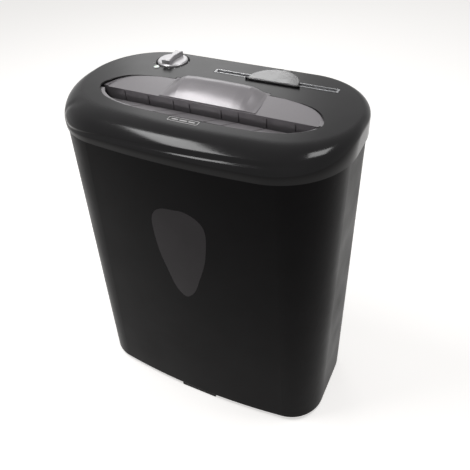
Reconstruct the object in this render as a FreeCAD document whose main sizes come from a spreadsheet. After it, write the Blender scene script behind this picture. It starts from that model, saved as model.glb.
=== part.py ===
import FreeCAD, Part
import math
import os
import re
from types import SimpleNamespace

import Sketcher
from FreeCAD import Placement, Rotation, Vector

# A desk-side paper shredder: a lift-off cutting head that stands on a moulded bin.
# Millimetres, +Z up, -Y towards the user, origin on the floor under the middle of the object.

# ---------------------------------------------------------------- driving dimensions
SIZES = {
    # bin
    "foot_height": 4, "seam_height": 327, "wall": 2.5, "bow": 12.3,
    "bin_half_top": 141.4, "bin_front_top": 74.5, "bin_back_top": 80, "bin_corner_top": 53,
    "bin_half_base": 138.4, "bin_front_base": 78.4, "bin_back_base": 57.8, "bin_corner_base": 39,
    # head
    "head_half": 144.8, "head_front": 81.5, "head_back": 88, "head_corner": 70, "head_top": 350,
    "roll_depth": 31, "roll_height": 20, "rim_depth": 7, "base_gap": 0.3,
    "tub_half": 136.8, "tub_front": 70, "tub_back": 71, "tub_corner": 43, "tub_floor": 258,
    # throat
    "throat_half": 113, "throat_rear": -7, "throat_lip": -12, "slit_height": 337.5,
    "hood_front_height": 346.4, "chute_end": 324, "hump_half": 50,
    # cutting frame
    "plate_half_gap": 108.5, "chute_half": 108, "plate_thick": 2.5, "axle_height": 300,
    "front_axle": -27.5, "rear_axle": 8.5, "roller_axle": 40.5,
    "disc_radius": 20, "disc_thick": 3.8, "disc_pitch": 8, "disc_count": 27,
    "spacer_radius": 13, "hex_corner": 9.2, "journal_radius": 6, "bush_radius": 9, "fit": 0.05,
    # drive train
    "drive_teeth": 30, "drive_module": 1.5, "reducer_small_teeth": 12, "reducer_large_teeth": 36,
    "pinion_teeth": 12, "pinion_module": 1, "sync_teeth": 18, "sync_module": 2, "roller_teeth": 14,
    "motor_radius": 17, "motor_length": 66, "motor_axle": 44, "motor_height": 278.5,
    # disc path
    "slot_middle": 42.4, "slot_line": 56, "slot_length": 128.4, "slot_width": 7.4,
    "slit_width": 4.6, "wheel_radius": 14.8, "flap_radius": 25.5,
    # controls
    "knob_across": -74.7, "knob_back": 61.5, "knob_radius": 15.8, "well_radius": 17.3,
    "lamp_across": -82.5, "lamp_back": 42.3,
    "post_across": 80, "post_back": 72.5, "gland_across": -52, "gland_height": 335.5, "gland_lip": 1,
}

doc = FreeCAD.newDocument("PaperShredder")
sheet = doc.addObject("Spreadsheet::Sheet", "Sizes")
for row, (alias, value) in enumerate(SIZES.items(), start=1):
    sheet.set(f"A{row}", alias)
    sheet.set(f"B{row}", str(value))
    sheet.setAlias(f"B{row}", alias)
doc.recompute()
size = SimpleNamespace(**{alias: float(sheet.get(alias)) for alias in SIZES})

nodes = []
ALONG_X = Rotation(Vector(0, 1, 0), 90)
ALONG_Y = Rotation(Vector(1, 0, 0), -90)
UPRIGHT = Rotation()


# ---------------------------------------------------------------- building helpers
def linked(text):
    """Write a size formula with each of its words read from the sheet."""
    return re.sub(r"[a-z][a-z_]+", r"Sizes.\g<0>", str(text))


def put(obj, at, turn=UPRIGHT):
    """Place an object, with each coordinate tied to the sheet."""
    obj.Placement = Placement(Vector(), turn)
    for axis, text in zip("xyz", at):
        obj.setExpression("Placement.Base." + axis, linked(text))
    return obj


def block(name, sides, at):
    """A block from its low corner."""
    obj = doc.addObject("Part::Box", name)
    for side, text in zip(("Length", "Width", "Height"), sides):
        obj.setExpression(side, linked(text))
    return put(obj, at)


def rod(name, radius, length, at, turn=ALONG_X):
    """A round bar from the middle of its first end."""
    obj = doc.addObject("Part::Cylinder", name)
    obj.setExpression("Radius", linked(radius))
    obj.setExpression("Height", linked(length))
    return put(obj, at, turn)


def joined(name, parts):
    obj = doc.addObject("Part::MultiFuse", name)
    obj.Shapes = parts
    return obj


def without(name, base, tools):
    obj = doc.addObject("Part::Cut", name)
    obj.Base = base
    obj.Tool = tools[0] if len(tools) == 1 else joined(name + "_tools", tools)
    return obj


def node(obj, name):
    """Name a finished sub-part; its label is its file's name."""
    obj.Label = name
    nodes.append(obj)
    return obj


def shaped(name, shape):
    """A sub-part whose shape comes from Part's own functions."""
    obj = doc.addObject("Part::Feature", name)
    obj.Shape = shape
    return node(obj, name)


def origin_plane(body, role):
    return next(part for part in body.Origin.OriginFeatures if part.Role == role)


def outline_sketch(body, role, corners):
    """A closed outline whose corners are tied to the sheet."""
    sketch = body.newObject("Sketcher::SketchObject", body.Name + "_outline")
    sketch.AttachmentSupport = (origin_plane(body, role), "")
    sketch.MapMode = "FlatFace"
    values = [[float(doc.Sizes.evalExpression(linked(text))) for text in corner] for corner in corners]
    count = len(corners)
    for index in range(count):
        start, end = values[index], values[(index + 1) % count]
        sketch.addGeometry(Part.LineSegment(Vector(*start, 0), Vector(*end, 0)))
    for index in range(count):
        sketch.addConstraint(Sketcher.Constraint("Coincident", index, 2, (index + 1) % count, 1))
    for index, (corner, value) in enumerate(zip(corners, values)):
        for kind, text, number in zip(("DistanceX", "DistanceY"), corner, value):
            place = sketch.addConstraint(Sketcher.Constraint(kind, -1, 1, index, 1, number))
            sketch.setExpression(f"Constraints[{place}]", linked(text))
    return sketch


def turned(name, corners, at, turn=UPRIGHT):
    """A body of revolution about its own Z; corners are (radius, height)."""
    body = doc.addObject("PartDesign::Body", name)
    sketch = outline_sketch(body, "XZ_Plane", corners)
    spin = body.newObject("PartDesign::Revolution", name + "_turned")
    spin.Profile = sketch
    spin.ReferenceAxis = (sketch, ["V_Axis"])
    spin.Angle = 360
    return put(body, at, turn)


def plate(name, corners, thick, at, role="XY_Plane", turn=UPRIGHT):
    """A flat body: an outline in one of its origin planes, padded."""
    body = doc.addObject("PartDesign::Body", name)
    sketch = outline_sketch(body, role, corners)
    pad = body.newObject("PartDesign::Pad", name + "_pad")
    pad.Profile = sketch
    pad.setExpression("Length", linked(thick))
    return put(body, at, turn)


def rounded(body, radius, pick):
    """Round the edges of a body that pick() chooses."""
    doc.recompute()
    tip = body.Tip
    names = [f"Edge{i}" for i, edge in enumerate(tip.Shape.Edges, start=1) if pick(edge)]
    fillet = body.newObject("PartDesign::Fillet", body.Name + "_round")
    fillet.Base = (tip, names)
    fillet.Radius = radius
    return body


def moved(shape, x=0, y=0, z=0):
    copy = shape.copy()
    copy.translate(Vector(x, y, z))
    return copy


def outline(half, front, back, corner, bow, height):
    """Plan outline: bowed front, straight sides and back, four tangent corners."""
    sagitta_radius = (half * half + bow * bow) / (2 * bow)
    bow_middle = -front + sagitta_radius
    reach = half - corner
    corner_line = bow_middle - math.sqrt((sagitta_radius - corner) ** 2 - reach ** 2)
    scale = sagitta_radius / (sagitta_radius - corner)
    touch_x = reach * scale
    touch_y = bow_middle + (corner_line - bow_middle) * scale
    lean = math.atan2(touch_y - corner_line, touch_x - reach) / 2

    def arc_end(side, centre_y, angle):
        return Vector(side * (reach + corner * math.cos(angle)), centre_y + corner * math.sin(angle), height)

    def at(x, y):
        return Vector(x, y, height)

    back_line = back - corner
    edges = [
        Part.Arc(at(-touch_x, touch_y), at(0, -front), at(touch_x, touch_y)).toShape(),
        Part.Arc(at(touch_x, touch_y), arc_end(1, corner_line, lean), at(half, corner_line)).toShape(),
        Part.makeLine(at(half, corner_line), at(half, back_line)),
        Part.Arc(at(half, back_line), arc_end(1, back_line, math.pi / 4), at(reach, back)).toShape(),
        Part.makeLine(at(reach, back), at(-reach, back)),
        Part.Arc(at(-reach, back), arc_end(-1, back_line, math.pi / 4), at(-half, back_line)).toShape(),
        Part.makeLine(at(-half, back_line), at(-half, corner_line)),
        Part.Arc(at(-half, corner_line), arc_end(-1, corner_line, lean), at(-touch_x, touch_y)).toShape(),
    ]
    return Part.Wire(edges)


def prism(wire, height):
    return Part.Face(wire).extrude(Vector(0, 0, height))


def cuboid(low, high):
    """A plain solid block between two corners."""
    return Part.makeBox(high[0] - low[0], high[1] - low[1], high[2] - low[2], Vector(*low))


def closed_curve(points):
    curve = Part.BSplineCurve()
    curve.interpolate([Vector(*point) for point in points], PeriodicFlag=True)
    return Part.Wire(curve.toShape())


# ---------------------------------------------------------------- bin
def bin_layer(inset, low, high):
    """The bin's tapered solid, shrunk sideways by inset, between two heights."""
    rise = size.seam_height - size.foot_height

    def ring(height):
        share = (height - size.foot_height) / rise

        def between(base, top):
            return base + (top - base) * share

        return outline(between(size.bin_half_base, size.bin_half_top) - inset,
                       between(size.bin_front_base, size.bin_front_top) - inset,
                       between(size.bin_back_base, size.bin_back_top) - inset,
                       between(size.bin_corner_base, size.bin_corner_top) - inset,
                       size.bow, height)

    return Part.makeLoft([ring(low), ring(high)], True, True)


def shield(grow):
    """The sight window's outline as a solid that runs through the front wall."""
    half = [(0, 273.5), (17, 270.8), (26.5, 262.5), (29, 242), (25, 214), (16.5, 187), (7.5, 167.5)]
    tip = [(0, 162.3)]
    points = half + tip + [(-x, z) for x, z in reversed(half[1:])]
    middle = 218
    spread = [(x * (1 + grow / 28), -95, middle + (z - middle) * (1 + grow / 56)) for x, z in points]
    return Part.Face(closed_curve(spread)).extrude(Vector(0, 45, 0))


POST_HALF = 5.5
POST_THICK = 2.2
floor_top = size.foot_height + 3
bin_outer = bin_layer(0, size.foot_height, size.seam_height)
bottom_ring = [edge for edge in bin_outer.Edges if edge.BoundBox.ZMax < size.foot_height + 0.1]
bin_outer = bin_outer.makeFillet(2.5, bottom_ring)
bin_wall = bin_outer.cut(bin_layer(size.wall, floor_top, size.seam_height + 0.001))
post = cuboid((size.post_across - POST_HALF, size.post_back - POST_THICK / 2, 290),
              (size.post_across + POST_HALF, size.post_back + POST_THICK / 2, size.seam_height + 8.9))
post_web = cuboid((size.post_across - 1.5, size.post_back, 290),
                  (size.post_across + 1.5, size.post_back + 5, size.seam_height - 4))
post_web = post_web.common(bin_layer(size.wall / 2, 280, size.seam_height))
shaped("bin_shell", bin_wall.cut(shield(0)).fuse([post, post_web]).removeSplitter())

liner = bin_layer(size.wall, 120, 300).cut(bin_layer(size.wall + 1.4, 119, 301))
window = bin_wall.common(shield(-0.25)).fuse(liner.common(shield(3)))
shaped("bin_window", window.removeSplitter())

front_foot = plate("FrontFoot", [(-22, -77.5), (22, -77.5), (22, -60), (-22, -60)], "foot_height", (0, 0, 0))
node(rounded(front_foot, 1, lambda edge: edge.BoundBox.ZMax < 0.01), "front_foot")
rear_foot = plate("RearFoot", [(-22, 40), (22, 40), (22, 54), (-22, 54)], "foot_height", (0, 0, 0))
node(rounded(rear_foot, 1, lambda edge: edge.BoundBox.ZMax < 0.01), "rear_foot")

pad_profile = [(0, 0), (7, 0), (8, 1), (8, "foot_height"), (0, "foot_height")]
foot_pads = [turned(f"FootPad{index}", pad_profile, (x, y, 0))
             for index, (x, y) in enumerate([(-108, -50), (108, -50), (-108, 34), (108, 34)])]
corner_feet = doc.addObject("Part::Compound", "CornerFeet")
corner_feet.Links = foot_pads
node(corner_feet, "corner_feet")


# ---------------------------------------------------------------- head covers
def head_form(inset, low, top):
    """The cover's rounded form, shrunk by inset: a deep roll in front, a small one elsewhere."""
    roll_start = size.head_top - size.roll_height
    rim_start = size.head_top - size.rim_depth
    levels = [low, roll_start, 334, 338, 342, 345.5, 348, 349.4, size.head_top]
    rings = []
    for level in levels:
        roll = max(0, (level - roll_start) / size.roll_height)
        rim = max(0, (level - rim_start) / size.rim_depth)
        front_in = size.roll_depth * (1 - math.sqrt(max(0, 1 - roll ** 2.2)))
        side_in = size.rim_depth * (1 - math.sqrt(max(0, 1 - rim ** 2)))
        height = low + (level - low) * (top - low) / (size.head_top - low)
        rings.append(outline(size.head_half - side_in - inset, size.head_front - front_in - inset,
                             size.head_back - side_in - inset, size.head_corner - side_in - inset,
                             size.bow, height))
    return Part.makeLoft(rings, True)


def lens(grow, low, high):
    """The feed opening: one closed curve, wide in the middle and pointed at both ends."""
    right = [(38, -40), (72, -37), (98, -27.5), (size.throat_half, -8), (98, 15.5), (58, 24.5)]
    points = [(0, -41)] + right + [(0, 26.5)] + [(-x, y) for x, y in reversed(right)]
    spread = [(x * (1 + grow / 113), -7 + (y + 7) * (1 + grow / 34), low) for x, y in points]
    return prism(closed_curve(spread), high - low)


pillar_spots = [(-125.5, -37), (125.5, -37), (-30, 60.5), (106.5, 64.6)]
PILLAR_RADIUS = 3.6
base_top = size.seam_height + 2.5
cover_outer = head_form(0, size.seam_height, size.head_top)
cover_inner = head_form(size.wall, size.seam_height - 0.01, size.head_top - size.wall)
cover = cover_outer.cut(cover_inner)
well_cup = Part.makeCylinder(size.well_radius + 1.5, 5, Vector(size.knob_across, size.knob_back, 345))
cover_bosses = [Part.makeCylinder(PILLAR_RADIUS, 20, Vector(x, y, base_top)) for x, y in pillar_spots]
lug_front = size.slot_line - size.slot_width / 2 - 2.6
lugs = []
for side in (-1, 1):
    lug_x = size.slot_middle + side * (size.flap_radius + 1.4)
    lug = cuboid((lug_x - 1, lug_front - 1.2, 348), (lug_x + 1, lug_front + 1.2, 352.3))
    lugs.append(lug)
cover = cover.fuse([well_cup.common(cover_outer)] + [boss.common(cover_outer) for boss in cover_bosses] + lugs)
lug_bore = Part.makeCylinder(0.85, 70, Vector(size.slot_middle - 35, lug_front, 351.2), Vector(1, 0, 0))
cover_cuts = [
    lens(0, 340, 352),
    cuboid((-size.hump_half - 0.2, 10, 340), (size.hump_half + 0.2, 29.2, 352)),
    Part.makeCylinder(size.well_radius, 6, Vector(size.knob_across, size.knob_back, 347.3)),
    Part.makeCylinder(4, 9, Vector(size.knob_across, size.knob_back, 343)),
    Part.makeCylinder(2, 9, Vector(size.lamp_across, size.lamp_back, 343)),
    cuboid((size.slot_middle - size.slot_length / 2, size.slot_line - size.slot_width / 2, 340),
           (size.slot_middle + size.slot_length / 2, size.slot_line + size.slot_width / 2, 352)),
    Part.makeCylinder(4.6, 12, Vector(size.gland_across, size.head_back - 8, size.gland_height), Vector(0, 1, 0)),
    lug_bore,
    Part.makeCylinder(6, 4, Vector(size.slot_middle + 1.5, 79.5, 348.8)),
]
screw_bores = [Part.makeCylinder(1.5, 16, Vector(x, y, base_top - 0.5)) for x, y in pillar_spots]
shaped("top_cover", cover.cut(cover_cuts + screw_bores).removeSplitter())

# the lower housing: a rim that carries the head on the bin, and a tub that hangs inside it
base_inset = size.wall + size.base_gap
rim = prism(outline(size.head_half - base_inset, size.head_front - base_inset, size.head_back - base_inset,
                    size.head_corner - base_inset, size.bow, size.seam_height), 2.5)
tub = prism(outline(size.tub_half, size.tub_front, size.tub_back, size.tub_corner, size.bow,
                    size.tub_floor), base_top - size.tub_floor)
tub_room = prism(outline(size.tub_half - size.wall, size.tub_front - size.wall, size.tub_back - size.wall,
                         size.tub_corner - size.wall, size.bow, size.tub_floor + size.wall), 90)
pillars = [Part.makeCylinder(PILLAR_RADIUS, base_top - size.tub_floor, Vector(x, y, size.tub_floor))
           for x, y in pillar_spots]
plate_feet = []
for side in (-1, 1):
    inner = side * size.plate_half_gap
    outer = side * (size.plate_half_gap + size.plate_thick)
    plate_feet.append(cuboid((min(inner, outer), -42, size.tub_floor + 1), (max(inner, outer), 54, 268)))
base_cuts = [
    cuboid((-106, -40, 250), (106, 20, 266)),
    cuboid((-17, 40, 250), (100, 60, 266)),
    cuboid((size.post_across - 7, size.post_back - 2.4, 320), (size.post_across + 7, size.post_back + 2.4, 335)),
]
for x, y in pillar_spots:
    base_cuts.append(Part.makeCylinder(2.6, 12, Vector(x, y, size.tub_floor - 1)))
    base_cuts.append(Part.makeCylinder(1.5, 90, Vector(x, y, size.tub_floor)))
shaped("head_base", rim.fuse(tub).cut(tub_room).fuse(pillars + plate_feet).cut(base_cuts).removeSplitter())

# cover screws: one long screw up each pillar
cover_screws = []
for x, y in pillar_spots:
    shank = Part.makeCylinder(1.5, base_top + 12 - size.tub_floor - 9, Vector(x, y, size.tub_floor + 11))
    head = Part.makeCylinder(2.5, 2, Vector(x, y, size.tub_floor + 9))
    cover_screws.append(shank.fuse(head).removeSplitter())
shaped("cover_screws", Part.makeCompound(cover_screws))


# ---------------------------------------------------------------- feed throat
def along_throat(points, half=120):
    """A section of the throat, given as (y, z), run from end to end."""
    wire = Part.makePolygon([Vector(-half, y, z) for y, z in points + points[:1]])
    return Part.Face(wire).extrude(Vector(2 * half, 0, 0))


def chute_wall(low_y, high_y, top):
    """A wall that leads the paper down between the side plates."""
    return cuboid((-size.chute_half, low_y, size.chute_end), (size.chute_half, high_y, top))


def hump_ring(across, rise, drop):
    """One section of the raised hood; drop shrinks it for the hollow."""
    spine = [(-6, 0.4), (1, 4.4), (10, 7.8), (19, 9.5), (25.5, 7.2), (29, 1.5)]
    top = [Vector(across, y + (drop if y < 10 else -drop), 347.2 + 2.4 * (y + 6) / 35 + up * rise - drop)
           for y, up in spine]
    curve = Part.BSplineCurve()
    curve.interpolate(top)
    low_back = Vector(across, top[-1].y, 345.5 - drop)
    low_front = Vector(across, top[0].y, 345.5 - drop)
    return Part.Wire([curve.toShape(), Part.makeLine(top[-1], low_back),
                      Part.makeLine(low_back, low_front), Part.makeLine(low_front, top[0])])


def hump(drop):
    shares = [(-1, 0.02), (-0.93, 0.14), (-0.85, 0.42), (-0.77, 0.7), (-0.68, 0.88), (-0.5, 0.97), (0, 1.02)]
    shares += [(-x, rise) for x, rise in reversed(shares[:-1])]
    half = size.hump_half - drop
    return Part.makeLoft([hump_ring(half * x, rise, drop) for x, rise in shares], True, True)


rib_places = [side * x for x in (16.5, 34, 61.3, 88.5) for side in (-1, 1)]
rib_slots = [cuboid((x - 0.6, -9, size.chute_end + 2), (x + 0.6, throat_face, size.hood_front_height - 2))
             for x in rib_places for throat_face in (size.throat_rear + 0.9,)]
flange = lens(3, 345.4, 347.5).cut(lens(-4, 345, 348))
hood_plate = along_throat([(size.throat_rear, size.hood_front_height), (size.throat_rear, 334),
                           (size.throat_rear + 2, 334), (size.throat_rear + 2, 343.9),
                           (30, 347.5), (30, 350.6)])
hood_plate = hood_plate.fuse(chute_wall(size.throat_rear, size.throat_rear + 2, 335))
hood_half = cuboid((-130, size.throat_rear, 320), (130, 60, 352))
hood = hood_plate.common(lens(-0.2, 320, 352)).fuse(flange.common(hood_half))
hood = hood.fuse(hump(0)).cut(hump(2).cut(cuboid((-60, -20, 340), (60, size.throat_rear + 2, 365))))
shaped("feed_hood", hood.cut(rib_slots).removeSplitter())

ramp = along_throat([(-43, 351), (size.throat_lip, size.slit_height), (size.throat_lip, 334),
                     (size.throat_lip - 2, 334), (size.throat_lip - 2, size.slit_height - 1.6),
                     (-43, 348.4)])
ramp = ramp.fuse(chute_wall(size.throat_lip - 2, size.throat_lip, 335))
guide_half = cuboid((-130, -60, 320), (130, size.throat_lip, 352))
guide = ramp.common(lens(-0.2, 320, 350.6)).fuse(flange.common(guide_half))
ramp_slope = math.degrees(math.atan2(351 - size.slit_height, 43 + size.throat_lip))
guide_slots = []
for x in rib_places:
    groove = Part.makeBox(1.2, 45, 3, Vector(x - 0.6, -45, 0))
    groove.rotate(Vector(x, 0, 0), Vector(1, 0, 0), -ramp_slope)
    drop = size.slit_height - 1 - size.throat_lip * -math.tan(math.radians(ramp_slope))
    groove.translate(Vector(0, 0, drop))
    guide_slots.append(groove)
lever_window = cuboid((-3, -20, 322), (3, -11, 333))
shaped("front_guide", guide.cut(guide_slots + [lever_window]).removeSplitter())

# ---------------------------------------------------------------- disc slot and its flap
half_slot = size.slot_length / 2 - 0.1
bezel = cuboid((size.slot_middle - half_slot, size.slot_line - size.slot_width / 2 + 0.1, 341),
               (size.slot_middle + half_slot, size.slot_line + size.slot_width / 2 - 0.1, 350.3))
bezel_lip = cuboid((size.slot_middle - half_slot - 2, size.slot_line - size.slot_width / 2 - 1, 345.5),
                   (size.slot_middle + half_slot + 2, size.slot_line + size.slot_width / 2 + 1, 347.5))
slit = cuboid((size.slot_middle - half_slot + 2, size.slot_line - size.slit_width / 2, 330),
              (size.slot_middle + half_slot - 2, size.slot_line + size.slit_width / 2, 360))
shaped("disc_slot_bezel", bezel.fuse(bezel_lip).cut(slit).removeSplitter())

flap_disc = Part.makeCylinder(size.flap_radius, 1.6, Vector(size.slot_middle, lug_front, 350.6))
flap_half = cuboid((size.slot_middle - 30, lug_front, 350), (size.slot_middle + 30, lug_front + 40, 353))
barrel_length = 2 * size.flap_radius - 1
barrel = Part.makeCylinder(1.1, barrel_length, Vector(size.slot_middle - barrel_length / 2, lug_front, 351.2),
                           Vector(1, 0, 0))
pin_length = barrel_length + 5
flap_pin = Part.makeCylinder(0.8, pin_length, Vector(size.slot_middle - pin_length / 2, lug_front, 351.2),
                             Vector(1, 0, 0))
flap_body = flap_disc.common(flap_half).cut(cuboid((0, lug_front - 1, 350), (17.5, lug_front + 3, 353)))
shaped("disc_flap", flap_body.fuse([barrel, flap_pin]).removeSplitter())

# ---------------------------------------------------------------- cutting frame
for side, name in ((-1, "left_side_plate"), (1, "right_side_plate")):
    axles = [("front_axle", "bush_radius"), ("rear_axle", "bush_radius")]
    start = "plate_half_gap" if side > 0 else "-plate_half_gap-plate_thick"
    sheet_metal = block(name + "_blank", ("plate_thick", 106, 62), (start, -52, 268))
    holes = [rod(f"{name}_hole{i}", radius, 20, (f"{side}*plate_half_gap-10", axle, "axle_height"))
             for i, (axle, radius) in enumerate(axles)]
    if side > 0:
        holes.append(rod(name + "_roller_hole", 6, 20, ("plate_half_gap-10", "roller_axle", "axle_height")))
    else:
        holes.append(rod(name + "_motor_hole", 5, 20, ("-plate_half_gap-10", "motor_axle", "motor_height")))
    node(without(name + "_cut", sheet_metal, holes), name)

rod_spots = [(-47.5, 274), (-47.5, 326), (18, 272), (28.5, 326.5)]
tie_bars = [rod(f"TieBar{index}", 3, "2*plate_half_gap", ("-plate_half_gap", y, z))
            for index, (y, z) in enumerate(rod_spots)]
tie_rods = doc.addObject("Part::Compound", "TieRods")
tie_rods.Links = tie_bars
node(tie_rods, "tie_rods")

nut_profile = [(0, 0), (5, 0), (5, 1.6), (2.5, 2.4), (0, 2.4)]
frame_screw_parts = []
for side in (-1, 1):
    turn = ALONG_X if side > 0 else Rotation(Vector(0, 1, 0), -90)
    for index, (y, z) in enumerate(rod_spots):
        start = f"{side}*(plate_half_gap+plate_thick)"
        frame_screw_parts.append(turned(f"FrameScrew{side + 1}{index}", nut_profile, (start, y, z), turn))
frame_screws = doc.addObject("Part::Compound", "FrameScrews")
frame_screws.Links = frame_screw_parts
node(frame_screws, "frame_screws")

bush_profile = [("journal_radius+fit", 0), ("bush_radius+1.5", 0), ("bush_radius+1.5", 1),
                ("bush_radius", 1), ("bush_radius", "plate_thick+1"), ("journal_radius+fit", "plate_thick+1")]
roller_bush = [("4+fit", 0), (7.5, 0), (7.5, 1), (6, 1), (6, "plate_thick+1"), ("4+fit", "plate_thick+1")]
bush_parts = []
for side in (-1, 1):
    turn = ALONG_X if side > 0 else Rotation(Vector(0, 1, 0), -90)
    for axle in ("front_axle", "rear_axle"):
        place = (f"{side}*(plate_half_gap-1)", axle, "axle_height")
        bush_parts.append(turned(f"Bush_{axle}_{side + 1}", bush_profile, place, turn))
bush_parts.append(turned("Bush_roller", roller_bush, ("plate_half_gap-1", "roller_axle", "axle_height"), ALONG_X))
shaft_bushes = doc.addObject("Part::Compound", "ShaftBushes")
shaft_bushes.Links = bush_parts
node(shaft_bushes, "shaft_bushes")


# ---------------------------------------------------------------- cutters
def toothed_disc(radius, thick, bore_wire, teeth, hook):
    """A cutting disc with hooked teeth, lying on its side along X."""
    points = []
    for tooth in range(teeth):
        angle = 2 * math.pi * tooth / teeth
        points.append(Vector(0, radius * math.cos(angle), radius * math.sin(angle)))
        step = 2 * math.pi / teeth
        for share in (0.06, 0.35, 0.7):
            reach = radius - hook * (1 - share)
            turn = angle + share * step
            points.append(Vector(0, reach * math.cos(turn), reach * math.sin(turn)))
    face = Part.Face([Part.makePolygon(points + points[:1])])
    disc = face.extrude(Vector(thick, 0, 0))
    return disc.cut(Part.Face(bore_wire).extrude(Vector(thick, 0, 0)))


def hexagon(corner):
    points = [Vector(0, corner * math.cos(i * math.pi / 3), corner * math.sin(i * math.pi / 3)) for i in range(7)]
    return Part.makePolygon(points)


HEX_HALF = size.plate_half_gap - 1.5
cut_reach = (size.disc_count - 1) / 2 * size.disc_pitch
one_disc = toothed_disc(size.disc_radius, size.disc_thick, hexagon(size.hex_corner), 12, 2.2)
spacer_width = size.disc_pitch - size.disc_thick
one_spacer = Part.makeCylinder(size.spacer_radius, spacer_width, Vector(), Vector(1, 0, 0))
one_spacer = one_spacer.cut(Part.Face(hexagon(size.hex_corner)).extrude(Vector(spacer_width, 0, 0)))


def cutter(name, axle, shift, count, drive_end, sync_end):
    """One cutting roller: a hexagon shaft with discs and spacers threaded on it."""
    first = -cut_reach + shift - size.disc_thick / 2
    discs = [moved(one_disc, first + i * size.disc_pitch, axle, size.axle_height) for i in range(count)]
    gaps = [first + size.disc_thick + i * size.disc_pitch for i in range(count - 1)]
    spacers = [moved(one_spacer, x, axle, size.axle_height) for x in gaps]
    ends = [(-HEX_HALF, first), (first + size.disc_thick + (count - 1) * size.disc_pitch, HEX_HALF)]
    for low, high in ends:
        collar = Part.makeCylinder(size.spacer_radius, high - low, Vector(), Vector(1, 0, 0))
        collar = collar.cut(Part.Face(hexagon(size.hex_corner)).extrude(Vector(high - low, 0, 0)))
        spacers.append(moved(collar, low, axle, size.axle_height))
    core = Part.Face(hexagon(size.hex_corner)).extrude(Vector(2 * HEX_HALF, 0, 0))
    core = moved(core, -HEX_HALF, axle, size.axle_height)
    journal = Part.makeCylinder(size.journal_radius, sync_end - drive_end,
                                Vector(drive_end, axle, size.axle_height), Vector(1, 0, 0))
    shaped(name + "_shaft", core.fuse(journal).removeSplitter())
    shaped(name + "_discs", Part.makeCompound(discs))
    shaped(name + "_spacers", Part.makeCompound(spacers))


cutter("front_cutter", size.front_axle, 0, int(size.disc_count), -113, 121.5)
cutter("rear_cutter", size.rear_axle, size.disc_pitch / 2, int(size.disc_count) - 1, -127.5, 121.5)


def stripper(name, axle, side, shift, count):
    """A comb whose fingers stand between the discs on the outer side of a roller."""
    reach = (axle + side * 3, axle + side * 15.8)
    top = 320.6
    back = (axle + side * 5.5, axle + side * 15.8)
    spine = cuboid((-size.plate_half_gap, min(back), top), (size.plate_half_gap, max(back), top + 4.4))
    shell = Part.makeCylinder(size.spacer_radius + 0.7, 240, Vector(-120, axle, size.axle_height), Vector(1, 0, 0))
    fingers = []
    for i in range(count):
        middle = -cut_reach + shift + size.disc_pitch * (i + 0.5)
        fingers.append(cuboid((middle - 1.7, min(reach), 285), (middle + 1.7, max(reach), top + 0.2)))
    shaped(name, spine.fuse(fingers).cut(shell).removeSplitter())


stripper("front_stripper", size.front_axle, -1, 0, int(size.disc_count) - 1)
stripper("rear_stripper", size.rear_axle, 1, size.disc_pitch / 2, int(size.disc_count) - 2)


# ---------------------------------------------------------------- gears
def gear_face(teeth, module, phase):
    """Involute outline about the X axis; phase is the angle of one tooth from +Y, in radians."""
    pitch = teeth * module / 2
    base = pitch * math.cos(math.radians(20))
    tip = pitch + module * 0.92
    root = pitch - module * 1.2
    pitch_roll = math.sqrt(max(0, (pitch / base) ** 2 - 1))
    pitch_lag = pitch_roll - math.atan(pitch_roll)
    half_tooth = math.pi / (2 * teeth) * 0.93

    def flank(radius):
        roll = math.sqrt(max(0, (radius / base) ** 2 - 1))
        return half_tooth + pitch_lag - (roll - math.atan(roll))

    start = max(base, root)
    radii = [start + (tip - start) * i / 4 for i in range(5)]
    points = []
    for tooth in range(teeth):
        middle = phase + 2 * math.pi * tooth / teeth
        rising = [(root, flank(start))] + [(radius, flank(radius)) for radius in radii]
        outline_pairs = [(radius, middle - turn) for radius, turn in rising]
        outline_pairs += [(radius, middle + turn) for radius, turn in reversed(rising)]
        points += [Vector(0, radius * math.cos(turn), radius * math.sin(turn)) for radius, turn in outline_pairs]
    return Part.Face(Part.makePolygon(points + points[:1]))


def gear(teeth, module, phase, start, width, spot, bore):
    """A spur gear on an axis along X, with a round bore."""
    body = gear_face(teeth, module, phase).extrude(Vector(width, 0, 0))
    if bore:
        body = body.cut(Part.makeCylinder(bore, width, Vector(), Vector(1, 0, 0)))
    return moved(body, start, spot[0], spot[1])


def mesh_phase(teeth, phase, spot, other_teeth, other_spot):
    """Tooth angle of the second gear that puts its gap where the first has a tooth."""
    line = math.atan2(other_spot[1] - spot[1], other_spot[0] - spot[0])
    return line + math.pi - (math.pi - teeth * (line - phase)) / other_teeth


front_spot = (size.front_axle, size.axle_height)
rear_spot = (size.rear_axle, size.axle_height)
roller_spot = (size.roller_axle, size.axle_height)
motor_spot = (size.motor_axle, size.motor_height)
sync_teeth = int(size.sync_teeth)
sync_start = 113.5
sync_width = 7
roller_teeth = int(size.roller_teeth)
front_phase = mesh_phase(sync_teeth, 0, rear_spot, sync_teeth, front_spot)
roller_phase = mesh_phase(sync_teeth, 0, rear_spot, roller_teeth, roller_spot)
shaped("rear_sync_gear", gear(sync_teeth, size.sync_module, 0, sync_start, sync_width, rear_spot,
                              size.journal_radius))
shaped("front_sync_gear", gear(sync_teeth, size.sync_module, front_phase, sync_start, sync_width, front_spot,
                               size.journal_radius))
shaped("roller_gear", gear(roller_teeth, size.sync_module, roller_phase, sync_start, sync_width, roller_spot, 4))

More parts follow.
